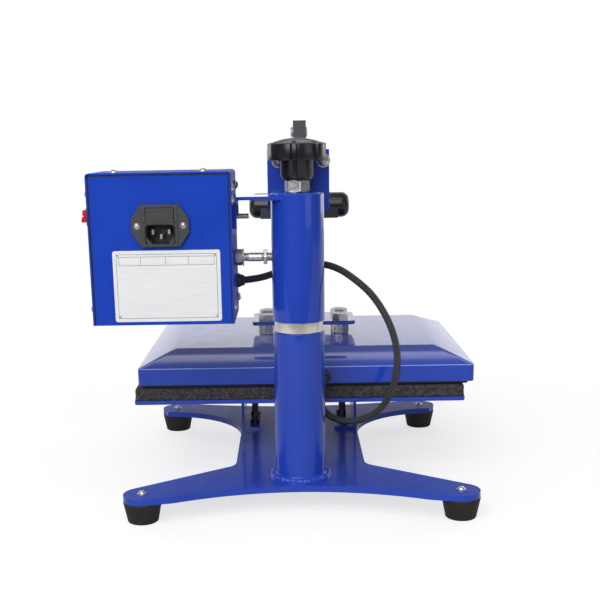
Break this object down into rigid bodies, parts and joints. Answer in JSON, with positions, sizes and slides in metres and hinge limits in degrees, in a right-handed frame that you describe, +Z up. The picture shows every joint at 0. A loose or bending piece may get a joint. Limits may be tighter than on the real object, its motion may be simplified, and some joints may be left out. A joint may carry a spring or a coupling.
{
  "type": "swing-away flat heat press",
  "caption": "Table-top heat press: padded lower platen on a footed base, heated upper platen on an arm that swings round a post and is pressed down by a toggle lever; control box at the side.",
  "frame": {"origin": "on the bench under the axis of the post", "axes": "+Z up, +Y to the rear, the control box on the +X side; the operator stands at -Y"},
  "size_m": [0.3604, 0.364, 0.358],
  "materials": {
    "blue_paint": "glossy powder coat",
    "black_rubber": "matt",
    "zinc": "zinc-plated, satin",
    "bright_steel": "ground",
    "black_steel": "black oxide",
    "grey_steel": "dark grey, satin",
    "ring_steel": "polished",
    "bronze": "satin",
    "sponge": "speckled silicone sponge",
    "black_gloss": "gloss",
    "black_matt": "matt",
    "grip_black": "gloss",
    "platen_aluminium": "machined",
    "board_cream": "fibrous",
    "element_steel": "oxidised",
    "plate_silver": "brushed",
    "relay_white": "matt",
    "display_red": "tinted",
    "key_grey": "matt",
    "rocker_red": "gloss",
    "fuse_glass": "clear",
    "lead_black": "braided sleeve"
  },
  "bodies": {
    "base": {"base_frame": "blue_paint", "rubber_feet": "black_rubber", "foot_bolts": "zinc", "post_tube": "blue_paint", "spindle": "bright_steel", "platen_supports": "blue_paint", "support_studs": "black_steel", "support_nuts": "black_steel", "lower_platen": "blue_paint", "silicone_pad": "sponge"},
    "swing_ring": {"thrust_ring": "ring_steel"},
    "adjuster": {"star_knob": "black_gloss", "pressure_screw": "zinc"},
    "head": {"sleeve": "blue_paint", "sleeve_bushes": "bronze", "adjuster_nut": "zinc", "arm_frame": "blue_paint", "arm_plate": "blue_paint", "arm_bolts": "zinc", "arm_screws": "black_steel", "lever_clevis": "grey_steel", "lever_pin": "zinc", "ram_guide": "grey_steel", "box_bracket": "blue_paint", "bracket_bolt": "zinc", "box_stay": "zinc", "box_body": "blue_paint", "box_cover": "blue_paint", "box_screws": "zinc", "controller": "black_matt", "display_window": "display_red", "power_relay": "relay_white", "switch_housing": "black_matt", "inlet_body": "black_matt", "inlet_pins": "zinc", "inlet_screws": "zinc", "rating_plate": "plate_silver", "heater_cable": "lead_black", "box_gland": "black_matt"},
    "rocker": {"rocker": "rocker_red"},
    "fuse_drawer": {"fuse_drawer": "black_matt", "fuse": "fuse_glass"},
    "key_set": {"key_set": "key_grey"},
    "key_shift": {"key_shift": "key_grey"},
    "key_down": {"key_down": "key_grey"},
    "key_up": {"key_up": "key_grey"},
    "lever": {"lever": "grey_steel", "handle_grip": "grip_black", "knee_pin": "zinc"},
    "link": {"links": "grey_steel", "ram_pin": "zinc"},
    "platen": {"ram": "bright_steel", "mounting_plate": "blue_paint", "mounting_bolts": "black_steel", "mounting_nuts": "black_steel", "head_cover": "blue_paint", "insulation_board": "board_cream", "heating_platen": "platen_aluminium", "heating_element": "element_steel", "cable_gland": "black_matt"}
  },
  "joints": [
    {"name": "swing", "type": "hinge", "parent": "base", "child": "swing_ring", "pos_m": [0, 0, 0.17], "axis": [0, 0, -1], "range_deg": [0, 100]},
    {"name": "pressure_adjust", "type": "slide", "parent": "swing_ring", "child": "head", "axis": [0, 0, 1], "range_m": [0, 0.0026]},
    {"name": "pressure_knob_turn", "type": "hinge", "parent": "swing_ring", "child": "adjuster", "pos_m": [0, 0, 0.33], "axis": [0, 0, -1], "range_deg": [0, 468.2]},
    {"name": "platen_lift", "type": "slide", "parent": "head", "child": "platen", "axis": [0, 0, 1], "range_m": [0, 0.0242], "deforming": ["heater_cable"]},
    {"name": "lever_turn", "type": "hinge", "parent": "head", "child": "lever", "pos_m": [-0.004, -0.172, 0.347], "axis": [-1, 0, 0], "range_deg": [0, 65.2]},
    {"name": "link_turn", "type": "hinge", "parent": "lever", "child": "link", "pos_m": [-0.004, -0.17652, 0.32139], "axis": [1, 0, 0], "range_deg": [0, 85.7]},
    {"name": "rocker_tilt", "type": "hinge", "parent": "head", "child": "rocker", "pos_m": [0.1815, 0.036, 0.2765], "axis": [0, 1, 0], "range_deg": [0, 18]},
    {"name": "fuse_drawer_slide", "type": "slide", "parent": "head", "child": "fuse_drawer", "axis": [0, 1, 0], "range_m": [0, 0.018]},
    {"name": "key_set_press", "type": "slide", "parent": "head", "child": "key_set", "axis": [0, 1, 0], "range_m": [0, 0.001], "stiffness_N_per_m": 300, "springref_m": -0.001},
    {"name": "key_shift_press", "type": "slide", "parent": "head", "child": "key_shift", "axis": [0, 1, 0], "range_m": [0, 0.001], "stiffness_N_per_m": 300, "springref_m": -0.001},
    {"name": "key_down_press", "type": "slide", "parent": "head", "child": "key_down", "axis": [0, 1, 0], "range_m": [0, 0.001], "stiffness_N_per_m": 300, "springref_m": -0.001},
    {"name": "key_up_press", "type": "slide", "parent": "head", "child": "key_up", "axis": [0, 1, 0], "range_m": [0, 0.001], "stiffness_N_per_m": 300, "springref_m": -0.001}
  ],
  "couplings": [
    {"joint": "pressure_knob_turn", "follows": "pressure_adjust", "rad_per_m": 3141.6},
    {"joint": "lever_turn", "follows": "platen_lift", "rad_per_m": 46.86},
    {"joint": "link_turn", "follows": "platen_lift", "rad_per_m": 61.58}
  ]
}
